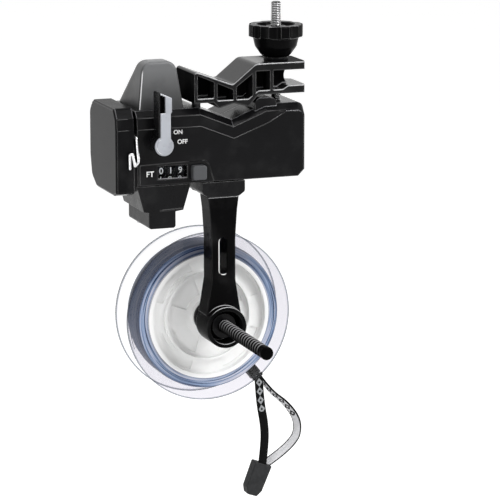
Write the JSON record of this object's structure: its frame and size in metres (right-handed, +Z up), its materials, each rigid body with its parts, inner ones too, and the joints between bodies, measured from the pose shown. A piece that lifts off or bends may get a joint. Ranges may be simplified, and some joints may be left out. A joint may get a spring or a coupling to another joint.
{
  "type": "fishing line winder",
  "caption": "Rod-mounted fishing line winder with a ribbed clamp jaw, a length counter and a clear filler spool on a threaded axle under a slotted arm.",
  "frame": {"origin": "on the axis of the clamped rod, at the middle of the housing's depth", "axes": "+Z up along the clamp stud, -Y the front with the lever and the counter window, +X to the clamp knob's side; the rod runs along Y"},
  "size_m": [0.1344, 0.1319, 0.3056],
  "materials": {
    "gloss_black": "gloss moulded plastic",
    "satin_black": "satin moulded plastic",
    "dark_grey": "semi-gloss moulded plastic",
    "silver_plastic": "silver painted plastic",
    "button_grey": "satin moulded plastic",
    "black_steel": "black oxide steel",
    "steel": "turned steel",
    "spring_steel": "bright wire",
    "window_clear": "clear plastic window",
    "clear_spool": "clear moulded plastic",
    "blue_line": "wound nylon line",
    "gear_white": "acetal",
    "wheel_black": "number wheel, white digits",
    "rubber_black": "matt rubber",
    "webbing_black": "woven webbing",
    "tab_grey": "soft moulded plastic"
  },
  "bodies": {
    "housing": {"front_housing": "gloss_black", "rear_housing": "gloss_black", "end_cap": "gloss_black", "dome_cover": "dark_grey", "lower_housing": "satin_black", "inlet_eyelet": "steel", "counter_window": "window_clear", "counter_frame": "satin_black", "frame_screws": "steel", "housing_screws": "black_steel", "idler_shaft_a": "steel", "idler_shaft_b": "steel", "pinch_arm": "satin_black", "pinch_pin": "steel", "pinch_pivot_pin": "steel", "wire_guide": "spring_steel", "clamp_stud": "black_steel", "stud_nut": "black_steel", "guide_post": "black_steel", "arm_shoe": "satin_black", "shoe_screws": "black_steel", "spool_arm": "gloss_black", "tension_nut": "satin_black", "tension_spring": "spring_steel", "front_cone": "satin_black"},
    "measuring_drum": {"measuring_axle": "steel", "measuring_wheel": "rubber_black", "measuring_pinion": "gear_white"},
    "idler_a": {"idler_gear_a": "gear_white"},
    "idler_b": {"idler_gear_b": "gear_white"},
    "counter_units": {"counter_gear": "gear_white", "counter_shaft": "steel", "number_wheel_units": "wheel_black"},
    "counter_tens": {"number_wheel_tens": "wheel_black"},
    "counter_hundreds": {"number_wheel_hundreds": "wheel_black"},
    "pinch": {"pinch_roller": "gear_white"},
    "button": {"reset_button": "button_grey"},
    "lever": {"lever_body": "satin_black", "lever_face": "silver_plastic", "lever_shaft": "satin_black"},
    "jaw": {"clamp_jaw": "gloss_black", "clamp_washer": "black_steel"},
    "knob": {"clamp_knob": "gloss_black"},
    "stop": {"spool_stop": "satin_black", "strap_lead": "webbing_black", "strap_rivet": "black_steel", "strap_ferrule": "tab_grey", "strap_left": "webbing_black", "strap_right": "webbing_black", "strap_tab": "tab_grey"},
    "axle": {"threaded_axle": "satin_black", "axle_knob": "satin_black"},
    "spool": {"spool_front_half": "clear_spool", "spool_rear_half": "clear_spool", "line_pack": "blue_line"}
  },
  "joints": [
    {"name": "measuring_turn", "type": "hinge", "parent": "housing", "child": "measuring_drum", "pos_m": [-0.0442, -0.0035, 0.00438], "axis": [1, 0, 0], "continuous": true},
    {"name": "idler_a_turn", "type": "hinge", "parent": "housing", "child": "idler_a", "pos_m": [-0.0442, 0.00222, -0.01083], "axis": [1, 0, 0], "continuous": true},
    {"name": "idler_b_turn", "type": "hinge", "parent": "housing", "child": "idler_b", "pos_m": [-0.0483, -0.00928, -0.01838], "axis": [1, 0, 0], "continuous": true},
    {"name": "units_turn", "type": "hinge", "parent": "housing", "child": "counter_units", "pos_m": [-0.0403, -0.0105, -0.03232], "axis": [1, 0, 0], "continuous": true},
    {"name": "tens_turn", "type": "hinge", "parent": "housing", "child": "counter_tens", "pos_m": [-0.0365, -0.0105, -0.03232], "axis": [1, 0, 0], "continuous": true},
    {"name": "hundreds_turn", "type": "hinge", "parent": "housing", "child": "counter_hundreds", "pos_m": [-0.0422, -0.0105, -0.03232], "axis": [1, 0, 0], "continuous": true},
    {"name": "pinch_turn", "type": "hinge", "parent": "housing", "child": "pinch", "pos_m": [-0.044, 0.01225, 0.00016], "axis": [1, 0, 0], "continuous": true},
    {"name": "reset_press", "type": "slide", "parent": "housing", "child": "button", "axis": [0, 1, 0], "range_m": [0, 0.0025], "stiffness_N_per_m": 250, "springref_m": -0.002},
    {"name": "lever_swing", "type": "hinge", "parent": "housing", "child": "lever", "pos_m": [-0.0454, -0.0285, -0.01532], "axis": [0, 1, 0], "range_deg": [0, 40]},
    {"name": "knob_turn", "type": "hinge", "parent": "jaw", "child": "knob", "pos_m": [0.0312, -0.008, 0.03738], "axis": [0, 0, 1], "range_deg": [-722, 3965]},
    {"name": "jaw_lift", "type": "slide", "parent": "housing", "child": "jaw", "axis": [0, 0, 1], "range_m": [-0.002, 0.011]},
    {"name": "axle_turn", "type": "hinge", "parent": "stop", "child": "axle", "pos_m": [-0.006, -0.0235, -0.12432], "axis": [0, 1, 0], "range_deg": [0, 805]},
    {"name": "axle_travel", "type": "slide", "parent": "housing", "child": "stop", "axis": [0, 1, 0], "range_m": [0, 0.008]},
    {"name": "spool_turn", "type": "hinge", "parent": "housing", "child": "spool", "pos_m": [-0.006, 0.0145, -0.12432], "axis": [0, 1, 0], "continuous": true}
  ],
  "couplings": [
    {"joint": "idler_a_turn", "follows": "measuring_turn", "ratio": -0.25},
    {"joint": "idler_b_turn", "follows": "measuring_turn", "ratio": 0.0625},
    {"joint": "units_turn", "follows": "measuring_turn", "ratio": -0.026786},
    {"joint": "tens_turn", "follows": "measuring_turn", "ratio": -0.0026786},
    {"joint": "hundreds_turn", "follows": "measuring_turn", "ratio": -0.00026786},
    {"joint": "pinch_turn", "follows": "measuring_turn", "ratio": -4.3333},
    {"joint": "knob_turn", "follows": "jaw_lift", "rad_per_m": 6283.2},
    {"joint": "axle_turn", "follows": "axle_travel", "rad_per_m": 1745.3}
  ]
}
